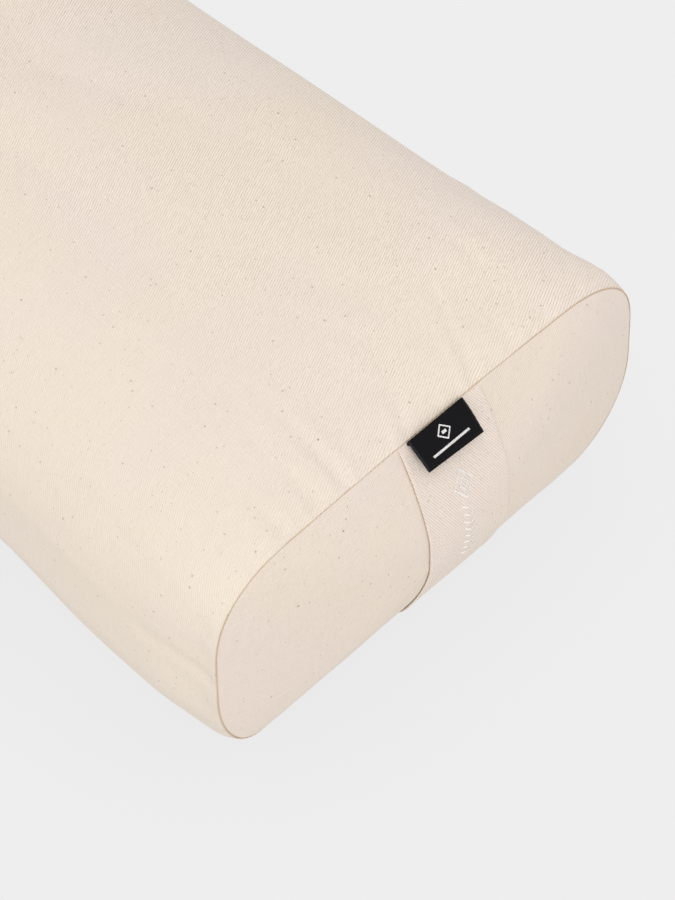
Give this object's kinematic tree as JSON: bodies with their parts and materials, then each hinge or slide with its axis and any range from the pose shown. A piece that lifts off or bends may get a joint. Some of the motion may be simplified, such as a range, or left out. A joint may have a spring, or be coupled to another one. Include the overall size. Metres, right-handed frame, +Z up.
{
  "type": "bolster pillow",
  "caption": "Firm flat-topped rectangular bolster in natural cotton drill with domed ends, a strap handle and black woven label on one end, a zip-off cover and a hull-filled liner.",
  "frame": {"origin": "centre of the flat face the bolster rests on", "axes": "+X along the bolster to the end with the handle and the label, +Y across it to the side with the cover zip, +Z up"},
  "size_m": [0.6262, 0.2984, 0.1579],
  "materials": {
    "cotton_drill": "natural unbleached cotton twill with seed flecks",
    "handle_drill": "natural unbleached cotton twill, two layers",
    "woven_label": "black damask-woven ribbon",
    "care_label": "white satin ribbon, blank",
    "zip_tape": "woven polyester tape, natural",
    "zip_teeth": "nylon coil",
    "zip_metal": "nickel plated",
    "thread": "spun polyester thread",
    "calico": "unbleached calico",
    "hulls": "packed buckwheat hulls"
  },
  "bodies": {
    "bolster": {"cover_body_panel": "cotton_drill", "cover_end_panel_handle_end": "cotton_drill", "cover_end_panel_plain_end": "cotton_drill", "end_seam_thread_handle_end": "thread", "end_seam_thread_plain_end": "thread", "cover_zip_tape_upper": "zip_tape", "cover_zip_tape_lower": "zip_tape", "cover_zip_teeth_upper": "zip_teeth", "cover_zip_teeth_lower": "zip_teeth", "cover_zip_top_stops": "zip_metal", "cover_zip_bottom_stop": "zip_metal", "zip_topstitch_thread": "thread", "care_label": "care_label", "liner_body_panel": "calico", "liner_end_panel_handle_end": "calico", "liner_end_panel_plain_end": "calico", "liner_zip_tape_upper": "zip_tape", "liner_zip_tape_lower": "zip_tape", "liner_zip_teeth_upper": "zip_teeth", "liner_zip_teeth_lower": "zip_teeth", "liner_zip_top_stops": "zip_metal", "liner_zip_bottom_stop": "zip_metal", "filling": "hulls"},
    "handle_grip": {"handle_strap_grip": "handle_drill"},
    "handle_top": {"handle_strap_top": "handle_drill"},
    "handle_bottom": {"handle_strap_bottom": "handle_drill"},
    "label": {"woven_label": "woven_label"},
    "cover_slider": {"cover_zip_slider": "zip_metal"},
    "cover_pull_tab": {"cover_zip_pull_tab": "zip_metal"},
    "liner_slider": {"liner_zip_slider": "zip_metal"},
    "liner_pull_tab": {"liner_zip_pull_tab": "zip_metal"}
  },
  "joints": [
    {"name": "handle_pull", "type": "slide", "parent": "bolster", "child": "handle_grip", "axis": [1, 0, 0], "range_m": [0, 0.025]},
    {"name": "handle_top_flex", "type": "hinge", "parent": "bolster", "child": "handle_top", "pos_m": [0.29183, 0.007, 0.13729], "axis": [0, -1, 0], "range_deg": [0, 22]},
    {"name": "handle_bottom_flex", "type": "hinge", "parent": "bolster", "child": "handle_bottom", "pos_m": [0.29183, 0.007, 0.00671], "axis": [0, 1, 0], "range_deg": [0, 22]},
    {"name": "label_lift", "type": "hinge", "parent": "handle_top", "child": "label", "pos_m": [0.29363, 0.0049, 0.13854], "axis": [0, -1, 0], "range_deg": [0, 110]},
    {"name": "cover_zip_travel", "type": "slide", "parent": "bolster", "child": "cover_slider", "axis": [-1, 0, 0], "range_m": [0, 0.444], "deforming": ["cover_zip_teeth_upper", "cover_zip_teeth_lower"]},
    {"name": "cover_pull_tab_swing", "type": "hinge", "parent": "cover_slider", "child": "cover_pull_tab", "pos_m": [0.2229, 0.148, 0.0765], "axis": [0, 0, -1], "range_deg": [0, 170]},
    {"name": "liner_zip_travel", "type": "slide", "parent": "bolster", "child": "liner_slider", "axis": [-1, 0, 0], "range_m": [0, 0.403], "deforming": ["liner_zip_teeth_upper", "liner_zip_teeth_lower"]},
    {"name": "liner_pull_tab_lift", "type": "hinge", "parent": "liner_slider", "child": "liner_pull_tab", "pos_m": [0.2018, -0.1421, 0.0765], "axis": [0, 0, 1], "range_deg": [0, 4]}
  ],
  "couplings": [
    {"joint": "handle_top_flex", "follows": "handle_pull", "rad_per_m": 15},
    {"joint": "handle_bottom_flex", "follows": "handle_pull", "rad_per_m": 15}
  ]
}
